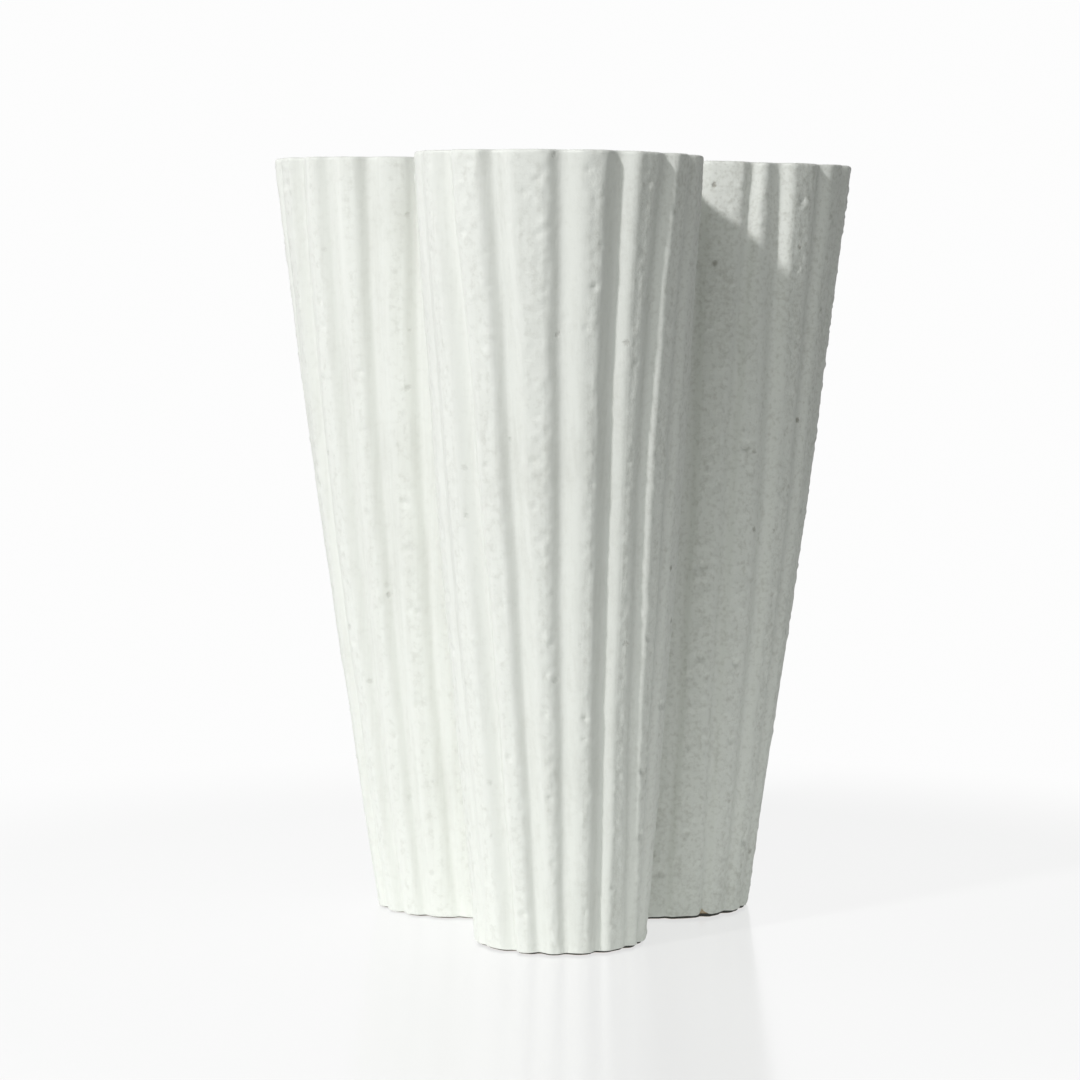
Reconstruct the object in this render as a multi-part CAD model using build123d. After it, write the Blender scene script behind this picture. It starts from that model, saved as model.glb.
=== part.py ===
from build123d import *
import os
from math import cos, radians, sin, tan

# Three-lobed fluted stoneware vase, in millimetres with +Z up.
# The axis meets the table at the origin, and the front lobe points along -Y.

# Overall form
HEIGHT = 230.0  # table to glazed rim
FOOT_RING = 36.6  # axis to the centre of each lobe, at the table
RIM_RING = 55.3  # axis to the centre of each lobe, at the rim
FOOT_LOBE = 24.9  # radius of each lobe over its ridges, at the table
RIM_LOBE = 40.6  # radius of each lobe over its ridges, at the rim
LOBE_TURN = 125.0  # degrees from a lobe's tip to where it turns into the valley
SIDE_BOW = 1.0  # outward swell of the sides at half height

# Flutes pressed unevenly by hand into the outside. Each row is one: degrees from its lobe's tip to its
# middle at the foot, half height and rim, and its width in degrees.
PRESSED_FLUTES = {
    "front": (
        (-33.5, -42.0, -52.0, 15.0),
        (-12.5, -18.5, -25.5, 15.5),
        (6.3, 4.3, 4.8, 16.5),
        (26.3, 25.5, 25.5, 14.5),
        (47.5, 42.5, 46.5, 13.0),
        (65.0, 60.0, 65.0, 12.0),
    ),
    "right": (
        (-95.0, -102.4, -109.5, 11.0),
        (-74.5, -83.3, -95.0, 15.0),
        (-54.0, -62.5, -72.0, 14.0),
        (-33.0, -41.0, -48.0, 13.0),
    ),
    "left": (
        (56.3, 60.3, 72.9, 12.0),
        (77.0, 80.8, 87.5, 14.0),
        (98.5, 100.5, 107.2, 13.0),
    ),
}
SPREAD_FLUTES = {"front": (3, 2), "right": (0, 7), "left": (8, 0)}  # count spread evenly before and after
SPREAD_WIDTH = 13.0  # degrees
FLUTE_SLOPE = 48.0  # degrees between a flute's edge and the ridge beside it

# Clay
WALL = 7.0  # over the ridges
FLOOR = 8.0
FLOOR_COIL = 6.0  # height and width of the coil in the corner of the floor
FLOOR_COIL_LIP = 0.8  # thickness left at that coil's upper edge
SEAM_COIL_RADIUS = 6.0  # coil behind the seam in each valley
SEAM_COIL_RISE = 2.0  # how far that coil stands out of the wall
SEAM_COIL_STOP = 16.0  # from the top of that coil up to the rim

# Glaze
GLAZE = 0.5
BARE_FOOT = 0.6  # height of unglazed clay above the table

LOBE_NAMES = ("front", "right", "left")
SEAM_NAMES = ("front_right", "back", "front_left")
LOBE_STEP = 360.0 / len(LOBE_NAMES)
FRONT_ANGLE = -90.0
LOFT_HEIGHTS = (0.0, HEIGHT / 2, HEIGHT)
REACH = 2 * (RIM_RING + RIM_LOBE + FOOT_RING + FOOT_LOBE)  # past everything, for cutting tools


def polar(distance, angle):
    return Vector(distance * cos(radians(angle)), distance * sin(radians(angle)))


def lobe_angle(lobe):
    """Direction of a lobe's tip, seen from the axis."""
    return FRONT_ANGLE + LOBE_STEP * lobe


def between(foot, rim, z):
    return foot + (rim - foot) * z / HEIGHT


def through(foot, half, rim, z):
    """Smooth curve through values at the foot, half height and rim."""
    t = z / HEIGHT
    return foot * (1 - t) * (1 - 2 * t) + 4 * half * t * (1 - t) + rim * t * (2 * t - 1)


def lobe_radius(z):
    swell = 4 * SIDE_BOW * (z / HEIGHT) * (1 - z / HEIGHT)
    return between(FOOT_LOBE, RIM_LOBE, z) + swell


def valley_reach(z):
    """From a lobe's centre to the centre of the round hollow in the valley beside it."""
    ring = between(FOOT_RING, RIM_RING, z)
    half_step = LOBE_STEP / 2
    return ring * sin(radians(half_step)) / sin(radians(LOBE_TURN - half_step))


def valley_radius(z):
    return valley_reach(z) - lobe_radius(z)


def valley_distance(z):
    """From the axis to the centre of the round hollow in a valley."""
    return valley_reach(z) * sin(radians(LOBE_TURN)) / sin(radians(LOBE_STEP / 2))


def point_on_lobe(lobe, z, radius, turn):
    centre = polar(between(FOOT_RING, RIM_RING, z), lobe_angle(lobe))
    return centre + polar(radius, lobe_angle(lobe) + turn) + Vector(0, 0, z)


def arc_on_lobe(lobe, z, radius, start, end, depth=0.0):
    """Arc between two turns from a lobe's tip, its middle sunk by a depth."""
    middle = (start + end) / 2
    return Edge.make_three_point_arc(
        point_on_lobe(lobe, z, radius, start),
        point_on_lobe(lobe, z, radius - depth, middle),
        point_on_lobe(lobe, z, radius, end),
    )


def valley_arc(lobe, z, inset):
    """Arc round the valley after a lobe, to the start of the next lobe."""
    radius = lobe_radius(z) - inset
    bottom = valley_distance(z) - valley_radius(z) - inset
    return Edge.make_three_point_arc(
        point_on_lobe(lobe, z, radius, LOBE_TURN),
        polar(bottom, lobe_angle(lobe) + LOBE_STEP / 2) + Vector(0, 0, z),
        point_on_lobe(lobe + 1, z, radius, -LOBE_TURN),
    )


def plain_outline(z, inset):
    """Smooth trefoil, set in from the ridges of the clay."""
    radius = lobe_radius(z) - inset
    edges = []
    for lobe in range(len(LOBE_NAMES)):
        edges.append(arc_on_lobe(lobe, z, radius, -LOBE_TURN, 0))
        edges.append(arc_on_lobe(lobe, z, radius, 0, LOBE_TURN))
        edges.append(valley_arc(lobe, z, inset))
    return Wire(edges)


def flutes(name, z):
    """Turns from a lobe's tip to the middles of its flutes, and their widths, from valley to valley."""
    pressed = [(through(foot, half, rim, z), width) for foot, half, rim, width in PRESSED_FLUTES[name]]
    first, last = pressed[0][0], pressed[-1][0]
    before, after = SPREAD_FLUTES[name]
    first_pitch = (first + LOBE_TURN) / (before + 0.5)
    last_pitch = (LOBE_TURN - last) / (after + 0.5)
    spread_before = [(first_pitch * (flute + 0.5) - LOBE_TURN, SPREAD_WIDTH) for flute in range(before)]
    spread_after = [(last + last_pitch * (flute + 1), SPREAD_WIDTH) for flute in range(after)]
    return spread_before + pressed + spread_after


def fluted_outline(z, inset):
    """Trefoil with hollow flutes between flat ridges."""
    radius = lobe_radius(z) - inset
    edges = []
    for lobe, name in enumerate(LOBE_NAMES):
        ridge_start = -LOBE_TURN
        for middle, width in flutes(name, z):
            start, end = middle - width / 2, middle + width / 2
            depth = lobe_radius(z) * radians(width / 2) * tan(radians(FLUTE_SLOPE / 2))
            edges.append(arc_on_lobe(lobe, z, radius, ridge_start, start))
            edges.append(arc_on_lobe(lobe, z, radius, start, end, depth))
            ridge_start = end
        edges.append(arc_on_lobe(lobe, z, radius, ridge_start, LOBE_TURN))
        edges.append(valley_arc(lobe, z, inset))
    return Wire(edges)


def lofted(outline, inset):
    return Solid.make_loft([outline(z, inset) for z in LOFT_HEIGHTS])


def layer(low, high):
    """Everything between two heights."""
    return Pos(0, 0, (low + high) / 2) * Box(REACH, REACH, high - low)


def sector(lobe):
    """Everything on one lobe's side of the valleys beside it."""
    corners = [polar(REACH, lobe_angle(lobe) + turn) for turn in (-LOBE_STEP / 2, 0, LOBE_STEP / 2)]
    base = make_face(Polyline(Vector(0, 0), *corners, close=True))
    return Pos(0, 0, -HEIGHT / 2) * extrude(base, 2 * HEIGHT)


def seam_coil(lobe, spread):
    """Round coil along the inside of the valley after a lobe, grown by a spread."""
    rings = []
    for z in LOFT_HEIGHTS:
        inside = valley_distance(z) - valley_radius(z) - WALL
        centre = polar(inside - SEAM_COIL_RISE + SEAM_COIL_RADIUS, lobe_angle(lobe) + LOBE_STEP / 2)
        rings.append(Wire.make_circle(SEAM_COIL_RADIUS + spread, Plane(centre + Vector(0, 0, z))))
    top = HEIGHT - SEAM_COIL_STOP + spread
    return Solid.make_loft(rings) & layer(FLOOR + FLOOR_COIL, top)


def floor_coil_bore(spread):
    """Space inside the floor coil, drawn in by a spread."""
    low = FLOOR + spread
    high = FLOOR + FLOOR_COIL + spread
    return Solid.make_loft(
        [
            plain_outline(low, WALL + FLOOR_COIL + spread),
            plain_outline(high, WALL + FLOOR_COIL_LIP + spread),
        ]
    )


def water_space(spread):
    """Hollow of the vase above its floor and coils, drawn in by a spread."""
    upper = lofted(plain_outline, WALL + spread) & layer(FLOOR + FLOOR_COIL + spread, HEIGHT)
    space = upper + floor_coil_bore(spread)
    for lobe in range(len(LOBE_NAMES)):
        space -= seam_coil(lobe, spread)
    return space


def build_parts():
    clay = lofted(fluted_outline, 0.0) & layer(0.0, HEIGHT - GLAZE)
    hollow = lofted(plain_outline, WALL)
    wall = clay - hollow
    parts = {}
    for lobe, name in enumerate(LOBE_NAMES):
        parts[f"{name}_lobe_wall"] = wall & sector(lobe)
    parts["floor_slab"] = hollow & layer(0.0, FLOOR)
    parts["floor_coil"] = (hollow & layer(FLOOR, FLOOR + FLOOR_COIL)) - floor_coil_bore(0.0)
    for lobe, name in enumerate(SEAM_NAMES):
        parts[f"{name}_seam_coil"] = seam_coil(lobe, 0.0) & hollow
    skin = lofted(fluted_outline, -GLAZE) & layer(BARE_FOOT, HEIGHT)
    parts["outer_glaze"] = skin - clay - hollow
    parts["inner_glaze"] = water_space(0.0) - water_space(GLAZE)
    return parts


os.makedirs("parts", exist_ok=True)
for node, shape in build_parts().items():
    export_step(shape, f"parts/{node}.step")
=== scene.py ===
import itertools
from math import cos, pi, radians, sin, tan

import bmesh
import bpy
import numpy as np
from mathutils import Euler, Matrix, Vector


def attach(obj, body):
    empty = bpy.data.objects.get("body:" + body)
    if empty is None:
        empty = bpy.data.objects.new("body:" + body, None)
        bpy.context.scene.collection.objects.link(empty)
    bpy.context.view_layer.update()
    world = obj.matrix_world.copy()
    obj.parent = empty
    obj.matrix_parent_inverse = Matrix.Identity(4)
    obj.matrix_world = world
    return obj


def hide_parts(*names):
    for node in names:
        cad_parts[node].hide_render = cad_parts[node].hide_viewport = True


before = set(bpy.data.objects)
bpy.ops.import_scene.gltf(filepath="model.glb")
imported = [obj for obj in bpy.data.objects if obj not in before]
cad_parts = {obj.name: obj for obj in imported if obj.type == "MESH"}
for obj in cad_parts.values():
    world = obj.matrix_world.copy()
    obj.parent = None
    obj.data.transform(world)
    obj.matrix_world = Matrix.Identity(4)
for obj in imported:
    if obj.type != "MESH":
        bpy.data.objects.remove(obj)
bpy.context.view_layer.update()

# Three-lobed fluted stoneware vase under a white satin glaze.
# Sizes are in millimetres, and a mesh is brought to metres as it is made.
MM = 0.001

# Overall form
HEIGHT = 230.0  # table to rim
FOOT_RING = 36.6  # axis to the centre of each lobe, at the table
RIM_RING = 55.3  # axis to the centre of each lobe, at the rim
FOOT_LOBE = 24.9  # radius of the clay over a lobe's ridges, at the table
RIM_LOBE = 40.6  # radius of the clay over a lobe's ridges, at the rim
LOBE_TURN = 125.0  # degrees from a lobe's tip to where it turns into the valley
HALF_STEP = 60.0  # degrees from a lobe's tip to the bottom of the valley, seen from the axis
SIDE_BOW = 1.0  # outward swell of the sides at half height
LOBES = {"front": -90.0, "right": 30.0, "left": 150.0}  # directions of the tips, in degrees
LOBE_NUMBERS = {lobe: number for number, lobe in enumerate(LOBES)}
LOBE_SWELL = {  # swell of each lobe away from the drawn form, at the foot, half height and rim
    "front": (0.0, 0.0, 0.0),
    "right": (0.1, -0.45, -0.7),
    "left": (0.35, 0.6, 0.2),
}
ROUND_SHARE = 0.86  # share of a sheet, from a lobe's tip to the valley, that is on the round of the lobe

# Clay and glaze
WALL = 7.0
GLAZE = 0.5
GLAZE_BACK = 0.5  # how far the skin's hidden side lies behind the face of the clay
FLOOR = 8.0
FLOOR_COIL = 6.0  # height and width of the coil in the corner of the floor
SEAM_COIL_WIDTH = 5.6  # from the middle of the coil behind a valley to its edge
SEAM_COIL_RISE = 2.5
SEAM_COIL_STOP = 16.0  # from the top of that coil up to the rim
SEAM_COIL_FADE = (4.0, -1.0)  # heights over that top between which the coil comes up to its full rise
BARE_FOOT = 0.65  # height of unglazed clay above the table
BARE_FOOT_LEAN = 0.006  # rise of that height for each millimetre towards +X, so the painted contact shadow on the foot is taller on the shaded side

# Rim
RIM_ROUND = 1.0
RIM_WEAR = 0.45  # how far the fired rim stands below the drawn height
RIM_TILT = -0.0135  # rise of the rim for each millimetre towards +X

# Foot
FOOT_ROUND = 0.9
FOOT_STEPS = (0.0, 0.15, 0.3, 0.5, 0.75, 1.0)  # heights of the rows round the foot, as shares of its round
FOOT_CHIP = {"front": 0.0, "right": 2.2, "left": 0.0}  # height of a chip in the glaze
FOOT_CHIP_TURN = -93.5  # degrees from the lobe's tip
FOOT_CHIP_WIDTH = 2.8  # degrees

# Flutes pressed unevenly by hand into the outside. Each row is one: degrees from its lobe's tip to its
# middle at the foot, half height and rim, and its width in degrees.
PRESSED_FLUTES = {
    "front": (
        (-35.0, -42.5, -53.5, 16.5),
        (-12.5, -18.5, -25.5, 15.5),
        (6.0, 3.3, 3.5, 16.5),
        (26.8, 24.0, 26.3, 16.0),
        (53.0, 41.8, 48.5, 12.5),
        (68.0, 62.0, 67.5, 12.0),
    ),
    "right": (
        (-93.5, -104.0, -106.5, 10.0),
        (-74.5, -83.3, -95.0, 15.0),
        (-52.0, -60.5, -70.0, 13.0),
        (-33.0, -41.0, -48.0, 13.0),
    ),
    "left": (
        (56.5, 58.0, 69.5, 14.0),
        (76.5, 80.3, 87.0, 14.5),
        (97.8, 99.0, 106.5, 14.0),
    ),
}
VALLEY_FLUTES = {  # rows like those above, for the flutes that run out into a valley
    "front": (),
    "right": ((-121.0, -124.0, -130.0, 9.0),),
    "left": ((120.8, 118.5, 126.6, 12.0),),
}
SPREAD_FLUTES = {"front": (3, 2), "right": (0, 7), "left": (8, 0)}  # count spread evenly before and after
SPREAD_WIDTH = 13.0  # degrees
FLUTE_SLOPE = 48.0  # degrees between a flute's edge and the ridge beside it
VALLEY_FADE = (0.25, 0.85)  # how far into the valley the flutes begin and end to run out
RIDGE_EDGE = (-0.3, 0.5)  # distances outside a flute's edge between which the ridge begins

# What the hand did to single flutes, numbered from 0 in the order that flutes() lists them
FLUTE_PRESS = {  # how far a flute's deepest line lies left of its middle, and how deeply it was pressed
    ("front", 2): (0.0, 0.5),
    ("front", 3): (-0.1, 1.5),
    ("front", 4): (0.3, 1.3),
    ("front", 5): (0.2, 1.0),
    ("front", 6): (0.0, 1.25),
    ("front", 7): (-0.1, 1.1),
    ("right", 0): (0.0, 1.3),
    ("right", 1): (-0.25, 1.1),
    ("left", 8): (0.4, 1.3),
    ("left", 9): (0.3, 1.3),
    ("left", 10): (0.2, 1.3),
}
EVEN_PRESS = (0.0, 1.0)
PRESSED_LANDS = {("front", 7): 0.6}  # how far the land left of a flute was pressed in
PUSHED_LIPS = {("front", 7): 0.25}  # height of the clay that was pushed up at a flute's right edge

# Strips along a flute: distance of a strip's middle to the right of the flute's edge, and its reach
TORN_STRIP = (0.2, 1.2)
BITTEN_STRIP = (0.4, 0.8)
LAND_STRIP = (-1.5, 3.2)
LIP_STRIP = (0.0, 1.5)

# How unsteady and rough the flutes are
FLUTE_SWAYS = ((0.3, 34.0, 0), (0.2, 11.0, 3))  # how far a flute sways, over what length, and its own seed
EDGE_BITES = ((2.3, 0.1, 6), (6.5, 0.3, 9))  # length of the bites in an edge, how much is left out, own seed
BITE_DEPTH = 0.5
FLUTE_TORN = {"front": 0.95, "right": 0.85, "left": 0.4}  # how rough the flutes' edges are
LEAST_TORN = 0.5  # the smoothest edge, as a share of that
TORN_SEED = 40
LOBE_SEEDS = 1000  # between the seeds of two lobes
FLUTE_SEEDS = 20  # between the seeds of two flutes

# Random marks: height, distance apart and seed, and for grains the share of places that have one
RIM_WAVES = (0.25, 16.0, 11)
GLAZE_EDGE_WAVES = (0.15, 9.0, 12)
GLAZE_EDGE_NICKS = (0.12, 2.5, 13)
CHIP_CRUMBLE = (0.5, 1.2, 14)
WALL_SLUMP = (0.45, 60.0, 21)
WALL_WAVES = (0.2, 21.0, 22)
SKIN_RIPPLES = (0.08, 3.4, 23)
SKIN_GRIT = (0.07, 1.7, 24)
FINE_GROG = (0.34, 2.3, 25, 0.5)
COARSE_GROG = (0.3, 4.6, 26, 0.15)
PITS = (0.8, 2.6, 27, 0.07)
TORN_CRUMBS = (0.45, 2.2, 28, 0.5)
TORN_HOLES = (0.55, 2.6, 29, 0.35)
FINGER_MARKS = (0.35, 17.0, 31)
LINING_WAVES = (0.1, 6.0, 32)
LINING_GROG = (0.1, 3.4, 33, 0.4)
FLOOR_WAVES = (0.25, 12.0, 34)
GROG_RISE = {"front": 1.0, "right": 1.3, "left": 1.0}  # how far the grog stands out of the glaze
FLUTE_GROG = 0.25  # share of that in the bottom of a flute
GRAIN_REACH = (0.3, 0.4)  # least radius of a grain and what chance adds, as shares of its place
GRAIN_RISE = (0.4, 0.6)  # least height of a grain and what chance adds
WAVER_LINE = 0.37  # where in the lattice of marks a swaying line runs


def between(foot, rim, z):
    return foot + (rim - foot) * z / HEIGHT


def through(foot, half, rim, z):
    """Smooth curve through values at the foot, half height and rim."""
    t = z / HEIGHT
    return foot * (1 - t) * (1 - 2 * t) + 4 * half * t * (1 - t) + rim * t * (2 * t - 1)


def ease(low, high, x):
    """From 0 at the low value to 1 at the high one, smoothly."""
    t = np.clip((x - low) / (high - low), 0, 1)
    return t * t * (3 - 2 * t)


def beside(distance, middle, reach):
    """1 in the middle of a strip, fading to 0 past its reach."""
    return np.exp(-(((distance - middle) / reach) ** 2))


# Random marks, the same in every run

def chances(cells, seed, count):
    """Random numbers from 0 to 1 for each cell of a lattice."""
    x, y, z = np.moveaxis(cells.astype(np.int64), -1, 0)
    key = (x * 73856093) ^ (y * 19349663) ^ (z * 83492791) ^ (seed * 265443577)
    numbers = []
    for n in range(count):
        mixed_up = (key + n * 374761393) & 0xFFFFFFFF
        mixed_up = ((mixed_up ^ (mixed_up >> 13)) * 1274126177) & 0xFFFFFFFF
        mixed_up = ((mixed_up ^ (mixed_up >> 15)) * 2246822519) & 0xFFFFFFFF
        numbers.append((mixed_up ^ (mixed_up >> 16)) / 2.0**32)
    return np.stack(numbers, axis=-1)


def swells(points, height, size, seed):
    """Smooth random rises and falls up to a height, about one size apart."""
    place = points / size
    cell = np.floor(place)
    blend = place - cell
    blend = blend * blend * (3 - 2 * blend)
    total = np.zeros(points.shape[:-1])
    for corner in itertools.product((0, 1), repeat=3):
        weight = np.prod(np.where(corner, blend, 1 - blend), axis=-1)
        total += weight * (2 * chances(cell + corner, seed, 1)[..., 0] - 1)
    return height * total


def waver(z, height, size, seed):
    """A line's random sway as it runs up the wall."""
    zero = np.zeros_like(z)
    return swells(np.stack([z, zero + WAVER_LINE * size, zero], axis=-1), height, size, seed)


def grains(points, height, size, seed, share):
    """Round bumps up to a height, in that share of the cells of a lattice."""
    base = np.floor(points / size)
    least_reach, more_reach = GRAIN_REACH
    least_rise, more_rise = GRAIN_RISE
    bumps = np.zeros(points.shape[:-1])
    for step in itertools.product((-1, 0, 1), repeat=3):
        chance = chances(base + step, seed, 6)
        centre = (base + step + chance[..., :3]) * size
        reach = size * (least_reach + more_reach * chance[..., 3])
        away = np.linalg.norm(points - centre, axis=-1) / reach
        bump = (least_rise + more_rise * chance[..., 4]) * np.clip(1 - away * away, 0, None)
        bumps = np.maximum(bumps, np.where(chance[..., 5] < share, bump, 0))
    return height * bumps


# The trefoil

def lobe_radius(z):
    return between(FOOT_LOBE, RIM_LOBE, z) + 4 * SIDE_BOW * (z / HEIGHT) * (1 - z / HEIGHT)


def valley_reach(z):
    """From a lobe's centre to the centre of the round hollow in the valley beside it."""
    ring = between(FOOT_RING, RIM_RING, z)
    return ring * sin(radians(HALF_STEP)) / sin(radians(LOBE_TURN - HALF_STEP))


def valley_radius(z):
    return valley_reach(z) - lobe_radius(z)


def into_valley(across):
    """From 0 on the round of a lobe to 1 at the bottom of the valley."""
    return np.clip((np.abs(across) - ROUND_SHARE) / (1 - ROUND_SHARE), 0, 1)


def turn_at(across, z):
    """Degrees round a lobe from its tip, carried on at the same pitch into the valley."""
    on_round = np.clip(across / ROUND_SHARE, -1, 1) * LOBE_TURN
    valley = into_valley(across) * (LOBE_TURN - HALF_STEP) * valley_radius(z) / lobe_radius(z)
    return on_round + np.sign(across) * valley


def place_on_lobe(lobe, across, z, inset):
    """Where a spot of one lobe lies: across runs from valley to valley, inset goes in from the ridges."""
    tip = radians(LOBES[lobe])
    side = np.sign(across)
    ring = between(FOOT_RING, RIM_RING, z)
    turn = tip + radians(LOBE_TURN) * np.clip(across / ROUND_SHARE, -1, 1)
    radius = lobe_radius(z) - inset
    lobe_x = ring * cos(tip) + radius * np.cos(turn)
    lobe_y = ring * sin(tip) + radius * np.sin(turn)
    middle = tip + side * radians(HALF_STEP)
    distance = valley_reach(z) * sin(radians(LOBE_TURN)) / sin(radians(HALF_STEP))
    sweep = side * radians(LOBE_TURN - HALF_STEP) * into_valley(across)
    turn_in_valley = tip + side * radians(LOBE_TURN) + pi - sweep
    radius_in_valley = valley_radius(z) + inset
    valley_x = distance * np.cos(middle) + radius_in_valley * np.cos(turn_in_valley)
    valley_y = distance * np.sin(middle) + radius_in_valley * np.sin(turn_in_valley)
    on_round = np.abs(across) <= ROUND_SHARE
    x = np.where(on_round, lobe_x, valley_x)
    y = np.where(on_round, lobe_y, valley_y)
    return np.stack([x, y, z], axis=-1)


def rim_height(lobe, across):
    """The hand-cut rim, nearly level."""
    flat = place_on_lobe(lobe, across, np.full_like(across, HEIGHT), np.zeros_like(across))
    return HEIGHT - RIM_WEAR + RIM_TILT * flat[..., 0] + swells(flat, *RIM_WAVES)


def foot_height(lobe, across):
    """Where the glaze was wiped back from the foot."""
    flat = place_on_lobe(lobe, across, np.zeros_like(across), np.zeros_like(across))
    chip = FOOT_CHIP[lobe] * beside(turn_at(across, 0.0), FOOT_CHIP_TURN, FOOT_CHIP_WIDTH)
    bare = BARE_FOOT + BARE_FOOT_LEAN * flat[..., 0] + chip * (1 + swells(flat, *CHIP_CRUMBLE))
    return bare + swells(flat, *GLAZE_EDGE_WAVES) + swells(flat, *GLAZE_EDGE_NICKS)


def foot_tuck(z):
    """How far the rounded edge of the foot draws in."""
    below = np.clip(1 - z / FOOT_ROUND, 0, 1)
    return FOOT_ROUND * (1 - np.sqrt(1 - below * below))


def heights_of_rows(rows):
    """Heights from foot to rim as shares, closer together round the foot."""
    foot = np.array(FOOT_STEPS) * FOOT_ROUND / HEIGHT
    above = np.linspace(foot[-1], 1, rows + 2 - len(foot))
    return np.concatenate([foot[:-1], above])[:, None]


# Flutes

def flutes(lobe, z):
    """Degrees from the lobe's tip to the middles of its flutes, and their widths."""
    rows = PRESSED_FLUTES[lobe] + VALLEY_FLUTES[lobe]
    pressed = [(through(foot, half, rim, z), width) for foot, half, rim, width in rows]
    first, last = pressed[0][0], pressed[len(PRESSED_FLUTES[lobe]) - 1][0]
    before, after = SPREAD_FLUTES[lobe]
    first_pitch = (first + LOBE_TURN) / (before + 0.5)
    last_pitch = (LOBE_TURN - last) / (after + 0.5)
    spread_before = [(first_pitch * (flute + 0.5) - LOBE_TURN, SPREAD_WIDTH) for flute in range(before)]
    spread_after = [(last + last_pitch * (flute + 1), SPREAD_WIDTH) for flute in range(after)]
    return spread_before + pressed + spread_after


def edge_bites(z, seed):
    """How deeply a flute's edge is bitten, from 0, up the wall."""
    bites = 0
    for length, spared, own_seed in EDGE_BITES:
        bites = bites + np.clip(waver(z, 1.0, length, seed + own_seed) - spared, 0, None)
    return bites


def fluting(lobe, across, z):
    """Depth of the flutes, share of ridge and share of torn edge. z holds one height for each row."""
    turn = turn_at(across, z)
    radius = lobe_radius(z)
    slope = tan(radians(FLUTE_SLOPE / 2))
    rng = np.random.default_rng(TORN_SEED + LOBE_NUMBERS[lobe])
    depth = np.zeros(turn.shape)
    ridge = np.ones(turn.shape)
    torn = np.zeros(turn.shape)
    pressed = np.zeros(turn.shape)
    for flute, (middle, width) in enumerate(flutes(lobe, z)):
        lean, deep = FLUTE_PRESS.get((lobe, flute), EVEN_PRESS)
        land = PRESSED_LANDS.get((lobe, flute), 0.0)
        lip = PUSHED_LIPS.get((lobe, flute), 0.0)
        rough = FLUTE_TORN[lobe] * rng.uniform(LEAST_TORN, 1.0)
        seed = LOBE_SEEDS * (LOBE_NUMBERS[lobe] + 1) + FLUTE_SEEDS * flute
        sway = sum(waver(z, reach, length, seed + own_seed) for reach, length, own_seed in FLUTE_SWAYS)
        aside = radius * np.radians(turn - middle) - sway
        half_width = radius * radians(width / 2)
        share = aside / half_width
        bowl = np.where(share < -lean, ease(-1, -lean, share), ease(1, -lean, share))
        depth = np.maximum(depth, deep * half_width * slope * bowl)
        ridge = np.minimum(ridge, ease(*RIDGE_EDGE, np.abs(aside) - half_width))
        from_left = aside + half_width
        from_right = aside - half_width
        torn = np.maximum(torn, rough * beside(from_left, *TORN_STRIP))
        pressed += BITE_DEPTH * rough * edge_bites(z, seed) * beside(from_left, *BITTEN_STRIP)
        pressed += land * beside(from_left, *LAND_STRIP)
        pressed -= lip * beside(from_right, *LIP_STRIP)
    fade = 1 - ease(*VALLEY_FADE, into_valley(across))
    return (depth + pressed) * fade, 1 - (1 - ridge) * fade, torn * fade


def outer_face(lobe, across, z):
    """Inset of the outer face from the clay's plain ridges, depth of its flutes and share of ridge."""
    depth, ridge, torn = fluting(lobe, across, z)
    plain = place_on_lobe(lobe, across + 0 * z, z + 0 * across, depth)
    slump = swells(plain, *WALL_SLUMP) + swells(plain, *WALL_WAVES)
    slump += through(*LOBE_SWELL[lobe], z) * (1 - into_valley(across))
    skin = swells(plain, *SKIN_RIPPLES) + swells(plain, *SKIN_GRIT)
    grog = grains(plain, *FINE_GROG) + grains(plain, *COARSE_GROG)
    pits = grains(plain, *PITS)
    crumbs = torn * (grains(plain, *TORN_CRUMBS) - grains(plain, *TORN_HOLES))
    coarse = GROG_RISE[lobe] * (FLUTE_GROG + (1 - FLUTE_GROG) * ridge)
    bumps = slump + (skin + grog - pits) * coarse + crumbs
    return depth - bumps, depth, ridge


# Sheets of clay and glaze, rolled flat and bent into place

MERGE_DISTANCE = 0.0005
SHARP_ANGLE = radians(65)  # a turn between two faces from which it shows as an edge


def add_sheet(bm, places, ridge=None):
    """Bends a flat grid so that its rows and columns lie at the places, in millimetres."""
    rows, columns = places.shape[0] - 1, places.shape[1] - 1
    ridge_layer = None
    if ridge is not None:
        ridge_layer = bm.verts.layers.float.new("ridge")
    made = bmesh.ops.create_grid(bm, x_segments=columns, y_segments=rows, size=1.0)
    for vert in made["verts"]:
        row = round((vert.co.y + 1) / 2 * rows)
        column = round((vert.co.x + 1) / 2 * columns)
        vert.co = places[row, column] * MM
        if ridge_layer is not None:
            vert[ridge_layer] = ridge[row, column]


def close_wall(bm):
    """Joins a wall's first and last rows, and closes its two ends with flat faces."""
    bmesh.ops.remove_doubles(bm, verts=bm.verts, dist=MERGE_DISTANCE * MM)
    for face in bm.faces:
        face.smooth = True
    ends = bmesh.ops.holes_fill(bm, edges=[edge for edge in bm.edges if edge.is_boundary], sides=0)
    bmesh.ops.recalc_face_normals(bm, faces=bm.faces)
    for face in ends["faces"]:
        face.smooth = False
    for edge in bm.edges:
        edge.smooth = edge.calc_face_angle(0.0) < SHARP_ANGLE


def piece_from(bm, name, replaced, material):
    """Makes a finished piece of the vase out of a bmesh."""
    mesh = bpy.data.meshes.new(name)
    bm.to_mesh(mesh)
    bm.free()
    mesh.materials.append(material)
    piece = bpy.data.objects.new(name, mesh)
    bpy.context.scene.collection.objects.link(piece)
    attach(piece, "root")
    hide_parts(*replaced)
    return piece


# Glaze over the outside

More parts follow.
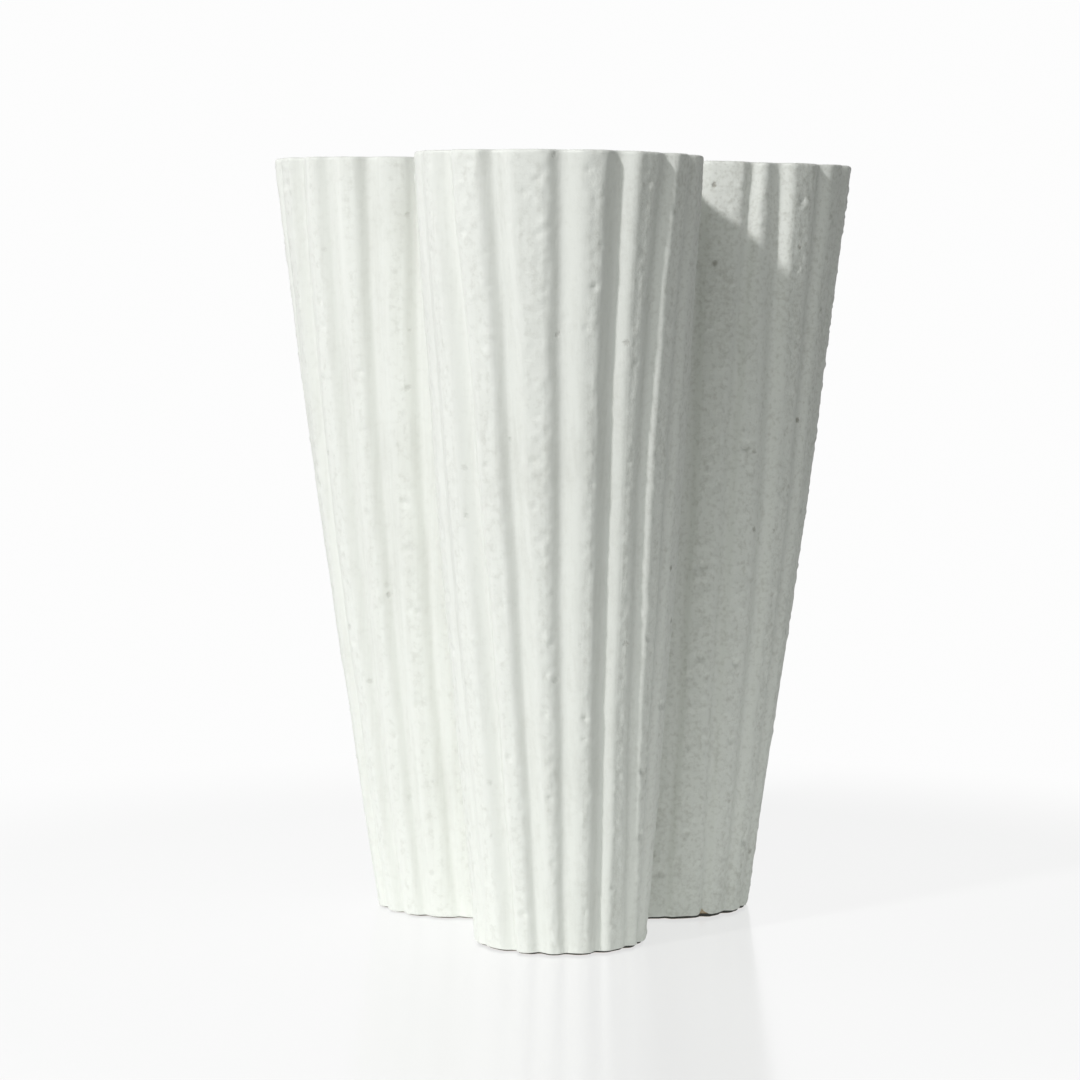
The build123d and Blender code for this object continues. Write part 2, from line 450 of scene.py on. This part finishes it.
SKIN_COLUMNS = 250
SKIN_ROWS = 300
RIM_ROWS = 15
BACK_ROWS = 26
SKIN_EDGE_TUCK = 0.3  # how far the skin's lowest edge turns in
SKIN_HOOK = 0.6  # how far the skin reaches down behind the lining
SKIN_BACK_RISE = 0.1  # how far the skin's hidden side stops above its lowest edge


def over_the_rim(top, face):
    """Heights and insets of the rows that run over the rim, from the outer face to the lining."""
    roll = np.linspace(0, 1, RIM_ROWS + 1)[1:, None] * 3
    outer_round = np.clip(roll, 0, 1) * pi / 2
    across_top = np.clip(roll - 1, 0, 1)
    inner_round = np.clip(roll - 2, 0, 1) * pi / 2
    width = WALL + GLAZE - face
    inset = RIM_ROUND * (1 - np.cos(outer_round)) + (width - 2 * RIM_ROUND) * across_top
    inset = inset + RIM_ROUND * np.sin(inner_round)
    return top + RIM_ROUND * (np.sin(outer_round) + np.cos(inner_round) - 1), face + inset


def glaze_skin(lobe, material):
    """The glaze over the outside of one lobe and over its rim."""
    across = np.linspace(-1, 1, SKIN_COLUMNS + 1)[None, :]
    top = rim_height(lobe, across) - RIM_ROUND
    low = foot_height(lobe, across)
    climb = heights_of_rows(SKIN_ROWS)
    inset, depth, ridge = outer_face(lobe, across, HEIGHT * climb)
    z = low + (top - low) * climb
    face = inset - GLAZE + foot_tuck(z)
    face[0] += SKIN_EDGE_TUCK
    rim_z, rim_inset = over_the_rim(top, face[-1:])
    # back down behind the face, to the lowest edge again
    under = top - SKIN_HOOK
    hook = np.full_like(top, WALL + GLAZE - GLAZE_BACK)
    back_climb = np.linspace(1, 0, BACK_ROWS + 1)[:, None]
    back_rows = np.round(back_climb[:, 0] * SKIN_ROWS).astype(int)
    back_z = low + SKIN_BACK_RISE + (under - low - SKIN_BACK_RISE) * back_climb
    back_inset = depth[back_rows] + GLAZE_BACK + foot_tuck(back_z)
    rows = [
        (z, face, ridge),
        (rim_z, rim_inset, np.repeat(ridge[-1:], RIM_ROWS, axis=0)),
        (np.vstack([top, under]), np.vstack([hook, hook]), ridge[-2:]),
        (back_z, back_inset, ridge[back_rows]),
        (z[:1], face[:1], ridge[:1]),
    ]
    z, inset, ridge = (np.vstack(parts) for parts in zip(*rows))
    bm = bmesh.new()
    add_sheet(bm, place_on_lobe(lobe, across + 0 * z, z, inset), ridge)
    close_wall(bm)
    return piece_from(bm, f"{lobe}_glaze_skin", ["outer_glaze"], material)


# Clay walls

CLAY_COLUMNS = 130
CLAY_ROWS = 64
CLAY_EDGE_ROWS = 3
CLAY_BELOW_RIM = 0.3  # how far the clay stops below the rounding of the rim
CLAY_SET_BACK = (0.05, 0.4)  # how far the clay lies behind its drawn face, at the foot and more above it
CLAY_SET_BACK_HEIGHTS = (4.0, 9.0)  # heights between which it goes back


def clay_wall(lobe, material):
    """One lobe's pressed clay wall, bare at its foot."""
    across = np.linspace(-1, 1, CLAY_COLUMNS + 1)[None, :]
    top = rim_height(lobe, across) - RIM_ROUND - CLAY_BELOW_RIM
    climb = heights_of_rows(CLAY_ROWS)
    inset, *_ = outer_face(lobe, across, HEIGHT * climb)
    z = top * climb
    at_foot, above = CLAY_SET_BACK
    face = inset + at_foot + above * ease(*CLAY_SET_BACK_HEIGHTS, z) + foot_tuck(z)
    inside = np.full_like(face, WALL)
    thickness = np.linspace(0, 1, CLAY_EDGE_ROWS + 2)[1:-1, None]
    rows = [
        (z, face),
        (top + 0 * thickness, face[-1:] * (1 - thickness) + WALL * thickness),
        (z[::-2], inside[::-2]),
        (0 * top * thickness, face[:1] * thickness + WALL * (1 - thickness)),
        (z[:1], face[:1]),
    ]
    z, inset = (np.vstack(parts) for parts in zip(*rows))
    bm = bmesh.new()
    add_sheet(bm, place_on_lobe(lobe, across + 0 * z, z, inset))
    close_wall(bm)
    return piece_from(bm, f"{lobe}_clay_wall", [f"{lobe}_lobe_wall"], material)


# Glaze inside

LINING_COLUMNS = 110
LINING_ROWS = 80
LINING_SLOPE_ROWS = 8
LINING_GLAZE = 0.4
LINING_CORNER = 2.0  # height over the floor coil where the lining leaves the wall
LINING_FLOOR = 0.6  # height of the lining over the clay floor
LINING_SLOPE = 1.6  # how much wider than the floor coil the lining's slope is
LINING_EVEN = 12.0  # height under the rim in which the marks on the lining fade out
FINGER_STRETCH = np.array([1.0, 1.0, 1.6])
FLOOR_RINGS = (0.9, 0.75, 0.55, 0.35, 0.15, 0.0)  # sizes of the rings of the floor, as shares of its edge


def seam_swell(across, z):
    """How far the coil behind a valley's seam pushes the lining inwards."""
    along = (1 - into_valley(across)) * radians(LOBE_TURN - HALF_STEP) * (valley_radius(z) + WALL + GLAZE)
    out, full = SEAM_COIL_FADE
    end = ease(HEIGHT - SEAM_COIL_STOP + out, HEIGHT - SEAM_COIL_STOP + full, z)
    return SEAM_COIL_RISE * end * np.clip(1 - (along / SEAM_COIL_WIDTH) ** 2, 0, None)


def lining_places(lobe):
    """Where one lobe's lining lies, from the rim down the wall and over the floor to the axis."""
    across = np.linspace(-1, 1, LINING_COLUMNS + 1)[None, :]
    corner = FLOOR + FLOOR_COIL + LINING_CORNER
    top = rim_height(lobe, across) - RIM_ROUND
    drop = np.linspace(1, 0, LINING_ROWS + 1)[:, None]
    z = corner + (top - corner) * drop
    inset = WALL + GLAZE + seam_swell(across, z)
    plain = place_on_lobe(lobe, across + 0 * z, z, inset)
    fingers = swells(plain * FINGER_STRETCH, *FINGER_MARKS) + swells(plain, *LINING_WAVES)
    marks = fingers + grains(plain, *LINING_GROG)
    inset = inset + marks * ease(HEIGHT, HEIGHT - LINING_EVEN, z)
    slope = np.linspace(0, 1, LINING_SLOPE_ROWS + 1)[1:, None]
    slope_z = corner + (FLOOR + LINING_FLOOR - corner) * slope
    slope_inset = inset[-1:] + (FLOOR_COIL + LINING_SLOPE) * slope
    wall = place_on_lobe(lobe, across + 0 * z, z, inset)
    coil = place_on_lobe(lobe, across + 0 * slope_z, slope_z + 0 * across, slope_inset)
    places = [wall, coil]
    for inward in FLOOR_RINGS:
        ring = coil[-1:] * np.array([inward, inward, 1.0])
        ring[..., 2] += swells(ring, *FLOOR_WAVES)
        places.append(ring)
    return np.vstack(places)


def glaze_lining(material):
    """The glaze inside: down the walls, over the coils and across the floor."""
    bm = bmesh.new()
    for lobe in LOBES:
        add_sheet(bm, lining_places(lobe))
    bmesh.ops.remove_doubles(bm, verts=bm.verts, dist=MERGE_DISTANCE * MM)
    bmesh.ops.recalc_face_normals(bm, faces=bm.faces)
    for face in bm.faces:
        face.smooth = True
    for edge in bm.edges:
        edge.smooth = not edge.is_boundary
    middle_of_floor = min(bm.faces, key=lambda face: face.calc_center_median().xy.length)
    if middle_of_floor.normal.z < 0:
        bmesh.ops.reverse_faces(bm, faces=bm.faces)
    piece = piece_from(bm, "glaze_lining", ["inner_glaze"], material)
    thickness = piece.modifiers.new("glaze thickness", "SOLIDIFY")
    thickness.thickness = LINING_GLAZE * MM
    thickness.offset = -1
    return piece


# Finishes

class Flow:
    """A socket in a material's nodes. Arithmetic on it adds Math nodes."""

    def __init__(self, tree, socket=None):
        self.tree = tree
        self.socket = socket

    def add(self, kind, settings=None, inputs=None, output=0):
        """Adds a node: its settings first, then values or links for its inputs."""
        node = self.tree.nodes.new(kind)
        for name, value in (settings or {}).items():
            setattr(node, name, value)
        for key, value in (inputs or {}).items():
            if isinstance(value, Flow):
                self.tree.links.new(value.socket, node.inputs[key])
            else:
                node.inputs[key].default_value = value
        return Flow(self.tree, node.outputs[output] if node.outputs else None)

    def maths(self, operation, *values):
        return self.add("ShaderNodeMath", {"operation": operation}, dict(enumerate(values)))

    def __add__(self, other):
        return self.maths("ADD", self, other)

    __radd__ = __add__

    def __mul__(self, other):
        return self.maths("MULTIPLY", self, other)

    __rmul__ = __mul__

    def __sub__(self, other):
        return self.maths("SUBTRACT", self, other)

    def __rsub__(self, other):
        return self.maths("SUBTRACT", other, self)

    def __abs__(self):
        return self.maths("ABSOLUTE", self)

    def clamped(self):
        return self.add("ShaderNodeClamp", None, {"Value": self})

    def step(self, low, high):
        """From 0 at the low value to 1 at the high one, smoothly."""
        settings = {"interpolation_type": "SMOOTHSTEP"}
        return self.add("ShaderNodeMapRange", settings, {"Value": self, "From Min": low, "From Max": high})

    def along(self, axis):
        """One part of a vector: X, Y or Z."""
        return self.add("ShaderNodeSeparateXYZ", None, {"Vector": self}, output=axis)


def mixed(factor, first, second):
    """A colour between two others."""
    settings = {"data_type": "RGBA"}
    return factor.add("ShaderNodeMix", settings, {0: factor, 6: first, 7: second}, output=2)


def new_material(name):
    material = bpy.data.materials.new(name)
    material.use_nodes = True
    material.node_tree.nodes.clear()
    return material, Flow(material.node_tree)


def spots(flow):
    """Object coordinates in millimetres."""
    coordinates = flow.add("ShaderNodeTexCoord", output="Object")
    return flow.add("ShaderNodeVectorMath", {"operation": "SCALE"}, {0: coordinates, "Scale": 1 / MM})


def noise(where, size, detail=2.0, roughness=0.5):
    inputs = {"Vector": where, "Scale": 1 / size, "Detail": detail, "Roughness": roughness}
    return where.add("ShaderNodeTexNoise", None, inputs)


def dots(where, size, output):
    """Scattered dots, one in each cell: the distance from a dot, or a colour drawn for each."""
    inputs = {"Vector": where, "Scale": 1 / size, "Randomness": 1.0}
    return where.add("ShaderNodeTexVoronoi", None, inputs, output=output)


def finish_surface(flow, bump, inputs):
    """Ends a finish: its bumps as strength, depth and height, and its other looks."""
    strength, depth, height = bump
    bump_inputs = {"Strength": strength, "Distance": depth * MM, "Height": height}
    normal = flow.add("ShaderNodeBump", None, bump_inputs)
    shader = flow.add("ShaderNodeBsdfPrincipled", None, {"Normal": normal, **inputs})
    flow.add("ShaderNodeOutputMaterial", None, {"Surface": shader})


# Noises: size, then detail and roughness
GLAZE_MOTTLE = (2.2, 3.0, 0.6)
GLAZE_CLOUDS = (34.0, 2.0)
GLAZE_SPECKS = (0.7, 2.0, 0.6)
GLAZE_FLECKS = (1.3, 2.0)
GLAZE_STREAKS = (1.8, 2.0)
GLAZE_PATCHES = (24.0,)
STREAK_STRETCH = (1.0, 1.0, 0.05)
FLECKS_AND_PIT_SHADE_SIDE = (8.0, 40.0)  # distances towards +X between which flecks come in and the pinholes' painted shade grows darker
PINHOLE_APART = 6.5
PINHOLE_EDGE = (0.34, 0.2)  # shares of that from a pinhole's middle to where it begins and is full
PINHOLE_PICK = (0.82, 0.95)  # chances between which a pinhole opens
GLAZE_SHINE = 0.3
GLAZE_THICK = (0.81, 0.819, 0.785, 1.0)
GLAZE_THIN = (0.66, 0.662, 0.622, 1.0)
# colour in a pinhole: partly the clay body, partly painted shade in the pit
PINHOLE_CLAY_AND_SHADE = (0.26, 0.24, 0.20, 1.0)


def glaze_finish(name, fluted):
    """White satin glaze, uneven and rough over grogged ridges, with a few pinholes whose dark colour is
    partly the clay and partly painted shade.
    """
    material, flow = new_material(name)
    where = spots(flow)
    mottle = noise(where, *GLAZE_MOTTLE)
    clouds = noise(where, *GLAZE_CLOUDS)
    specks = noise(where, *GLAZE_SPECKS)
    upright = flow.add("ShaderNodeVectorMath", {"operation": "MULTIPLY"}, {0: where, 1: STREAK_STRETCH})
    streak = noise(upright, *GLAZE_STREAKS)
    flecks_and_pit_shade = where.along("X").step(*FLECKS_AND_PIT_SHADE_SIDE)
    if fluted:
        ridge = flow.add("ShaderNodeAttribute", {"attribute_name": "ridge"}, output="Fac")
    else:
        ridge = noise(where, *GLAZE_PATCHES).step(0.4, 0.7) * 0.4
    # thin where ridges are worn, in clouds and down the streaks
    worn = (0.4 + 0.6 * ridge) * mottle.step(0.45, 0.75)
    thin = 0.55 * worn + 0.3 * clouds.step(0.45, 0.8) + 0.9 * (streak - 0.5)
    if fluted:
        thin = thin + flecks_and_pit_shade * 3.0 * (noise(where, *GLAZE_FLECKS) - 0.5)
    colour = mixed(thin.clamped(), GLAZE_THICK, GLAZE_THIN)
    # a pinhole in a few of the cells, its dark colour partly the clay and partly painted shade
    hole_away = dots(where, PINHOLE_APART, "Distance")
    hole_chance = flow.add("ShaderNodeSeparateColor", None, {"Color": dots(where, PINHOLE_APART, "Color")})
    hole = (hole_away + 0.2 * specks + 0.1 * mottle).step(*PINHOLE_EDGE) * hole_chance.step(*PINHOLE_PICK)
    # painted shade in the pinholes, stronger towards +X where the vase is in shade
    colour = mixed((0.2 + 0.5 * flecks_and_pit_shade) * hole, colour, PINHOLE_CLAY_AND_SHADE)
    rough = 0.42 + 0.2 * ridge + 0.12 * (mottle - 0.5)
    height = 0.5 * mottle * ridge + 0.3 * specks + 0.25 * specks * ridge - 1.2 * hole + 0.15 * streak
    looks = {"Base Color": colour, "Roughness": rough, "Specular IOR Level": GLAZE_SHINE}
    finish_surface(flow, (0.7, 0.22, height), looks)
    return material


CLAY_BLOTCHES = (9.0, 3.0)
CLAY_GRIT = (0.6, 3.0, 0.7)
GROG_APART = 1.7
GROG_EDGE = (0.34, 0.22)  # shares of that from a grain's middle to where it begins and is full
CONTACT_SHADOW_HEIGHT = (1.7, 1.1)  # heights between which a contact shadow is painted on the foot's outer edge
CONTACT_SHADOW_FACING = (0.97, 0.8)  # how level a face may be to get the painted contact shadow, which leaves the underside without it
CLAY_LIGHT = (0.54, 0.40, 0.26, 1.0)
CLAY_DARK = (0.38, 0.27, 0.16, 1.0)
GROG_PALE = (0.62, 0.52, 0.40, 1.0)
# colour of the painted contact shadow where the foot meets the table
FOOT_CONTACT_SHADOW = (0.05, 0.048, 0.045, 1.0)


def bare_clay_finish():
    """Fired buff clay with pale grog, matt and gritty, with a contact shadow painted round the edge of the
    foot.
    """
    material, flow = new_material("bare_clay")
    where = spots(flow)
    blotch = noise(where, *CLAY_BLOTCHES)
    grit = noise(where, *CLAY_GRIT)
    grog = dots(where, GROG_APART, "Distance").step(*GROG_EDGE)
    colour = mixed(blotch.step(0.35, 0.7), CLAY_LIGHT, CLAY_DARK)
    colour = mixed(grog * 0.6, colour, GROG_PALE)
    level = abs(flow.add("ShaderNodeNewGeometry", output="Normal").along("Z"))
    # painted contact shadow: dark on the foot's outer edge close to the table, but not on the level
    # underside
    contact_shadow = (where.along("Z") + 0.5 * blotch).step(*CONTACT_SHADOW_HEIGHT) * level.step(*CONTACT_SHADOW_FACING)
    colour = mixed(contact_shadow, colour, FOOT_CONTACT_SHADOW)
    looks = {"Base Color": colour, "Roughness": 0.84 + 0.12 * grit}
    finish_surface(flow, (0.8, 0.25, 0.6 * grit + 0.5 * grog), looks)
    return material


BARE_NODES = ("floor_slab", "floor_coil", "front_right_seam_coil", "back_seam_coil", "front_left_seam_coil")


def build_vase():
    outside = glaze_finish("white_glaze", True)
    inside = glaze_finish("lining_glaze", False)
    clay = bare_clay_finish()
    for lobe in LOBES:
        glaze_skin(lobe, outside)
        clay_wall(lobe, clay)
    glaze_lining(inside)
    for name in BARE_NODES:
        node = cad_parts[name]
        node.data.materials.clear()
        node.data.materials.append(clay)


# Studio, with distances in metres

WHITE = (1.0, 1.0, 1.0, 1.0)
SHADE_TINT = (0.955, 1.0, 0.955, 1.0)  # colour of the light in the shade
SURROUND = 0.165  # light from all round
BACKDROP = 0.98
LAMPS = {  # degrees to the left of the camera and up, distance, size across, power in watts and colour
    "studio_key": (41.0, 37.0, 2.2, 0.165, 28.5, WHITE),
    "studio_fill": (15.0, 30.0, 1.8, 1.2, 5.4, SHADE_TINT),
    "studio_side": (105.0, 15.0, 1.8, 1.2, 7.5, WHITE),
}

FLOOR_SIZE = 3.0
FLOOR_SIDES = 96
FLOOR_SHADE = (0.5, 0.5, 0.5, 1.0)  # the pale table near the vase
FLOOR_DIM = (0.4, 0.4, 0.4, 1.0)  # and away from it
FLOOR_GLOW = 0.5  # light that the pale table throws back up
FLOOR_POOL = (0.45, 0.25)  # distances from the axis between which that light comes up to its full strength
FLOOR_SEEN = (0.13, 0.13, 0.13, 1.0)  # share of its shading that the camera sees on the pale floor
FLOOR_LIFT = 0.905  # brightness under that shading
FLOOR_GLOSS = 0.26
FLOOR_GLOSS_BLUR = 0.16
FLOOR_FADE = (0.20, 0.34)  # distances from the axis between which the floor fades into the backdrop

CAMERA_DISTANCE = 0.99936
CAMERA_HEIGHT = 0.19821
CAMERA_ASIDE = -0.00681
CAMERA_TILT = 0.0830  # radians down from level
CAMERA_TURN = 0.0230  # radians round the vase from its front
CAMERA_LENS = 110.2  # millimetres
CAMERA_SENSOR = 36.0  # width in millimetres


def floor_looks():
    """A pale floor: one look for the camera, another for the light that it throws on the vase."""
    material, flow = new_material("studio_floor")
    camera_ray = flow.add("ShaderNodeLightPath", output="Is Camera Ray")
    coordinates = flow.add("ShaderNodeTexCoord", output="Object")
    away = flow.add("ShaderNodeVectorMath", {"operation": "LENGTH"}, {0: coordinates}, output="Value")
    shade = flow.add("ShaderNodeBsdfDiffuse", None, {"Color": FLOOR_SHADE})
    glow = flow.add("ShaderNodeEmission", None, {"Color": SHADE_TINT, "Strength": FLOOR_GLOW})
    pool = flow.add("ShaderNodeAddShader", None, {0: shade, 1: glow})
    dim = flow.add("ShaderNodeBsdfDiffuse", None, {"Color": FLOOR_DIM})
    lighting = flow.add("ShaderNodeMixShader", None, {0: away.step(*FLOOR_POOL), 1: dim, 2: pool})
    seen = flow.add("ShaderNodeBsdfDiffuse", None, {"Color": FLOOR_SEEN})
    lift = flow.add("ShaderNodeEmission", None, {"Strength": FLOOR_LIFT})
    pale = flow.add("ShaderNodeAddShader", None, {0: seen, 1: lift})
    gloss = flow.add("ShaderNodeBsdfGlossy", None, {"Roughness": FLOOR_GLOSS_BLUR})
    near = flow.add("ShaderNodeMixShader", None, {0: FLOOR_GLOSS, 1: pale, 2: gloss})
    far = flow.add("ShaderNodeEmission", None, {"Strength": BACKDROP})
    picture = flow.add("ShaderNodeMixShader", None, {0: away.step(*FLOOR_FADE), 1: near, 2: far})
    surface = flow.add("ShaderNodeMixShader", None, {0: camera_ray, 1: lighting, 2: picture})
    flow.add("ShaderNodeOutputMaterial", None, {"Surface": surface})
    return material


def studio_floor():
    bm = bmesh.new()
    bmesh.ops.create_circle(bm, cap_ends=True, radius=FLOOR_SIZE, segments=FLOOR_SIDES)
    mesh = bpy.data.meshes.new("studio_floor")
    bm.to_mesh(mesh)
    bm.free()
    mesh.materials.append(floor_looks())
    floor = bpy.data.objects.new("studio_floor", mesh)
    bpy.context.scene.collection.objects.link(floor)


def studio_surround():
    """A white backdrop that lights the vase softly from all round."""
    world = bpy.data.worlds.new("studio_surround")
    world.use_nodes = True
    world.node_tree.nodes.clear()
    flow = Flow(world.node_tree)
    camera_ray = flow.add("ShaderNodeLightPath", output="Is Camera Ray")
    glossy_ray = flow.add("ShaderNodeLightPath", output="Is Glossy Ray")
    seen = flow.maths("MAXIMUM", camera_ray, glossy_ray)
    around = flow.add("ShaderNodeBackground", None, {"Color": SHADE_TINT, "Strength": SURROUND})
    backdrop = flow.add("ShaderNodeBackground", None, {"Color": WHITE, "Strength": BACKDROP})
    surface = flow.add("ShaderNodeMixShader", None, {0: seen, 1: around, 2: backdrop})
    flow.add("ShaderNodeOutputWorld", None, {"Surface": surface})
    bpy.context.scene.world = world


def studio_lamp(name, side, height, distance, size, power, colour):
    """A round lamp that shines on the vase from a side and height in degrees, seen from the camera."""
    light = bpy.data.lights.new(name, "AREA")
    light.shape = "DISK"
    light.size = size
    light.energy = power
    light.color = colour[:3]
    lamp = bpy.data.objects.new(name, light)
    bpy.context.scene.collection.objects.link(lamp)
    side = radians(side) - CAMERA_TURN
    height = radians(height)
    away = Vector((-sin(side) * cos(height), -cos(side) * cos(height), sin(height)))
    lamp.location = Vector((0, 0, HEIGHT / 2 * MM)) + distance * away
    lamp.rotation_euler = (-away).to_track_quat("-Z", "Y").to_euler()


def front_camera():
    data = bpy.data.cameras.new("camera")
    data.sensor_width = CAMERA_SENSOR
    data.lens = CAMERA_LENS
    camera = bpy.data.objects.new("camera", data)
    bpy.context.scene.collection.objects.link(camera)
    turned = Matrix.Rotation(CAMERA_TURN, 3, "Z")
    camera.location = turned @ Vector((CAMERA_ASIDE, -CAMERA_DISTANCE, CAMERA_HEIGHT))
    camera.rotation_euler = Euler((pi / 2 - CAMERA_TILT, 0, CAMERA_TURN))
    bpy.context.scene.camera = camera


build_vase()
studio_floor()
studio_surround()
for lamp_name, lamp_values in LAMPS.items():
    studio_lamp(lamp_name, *lamp_values)
front_camera()
bpy.context.scene.view_settings.view_transform = "Standard"
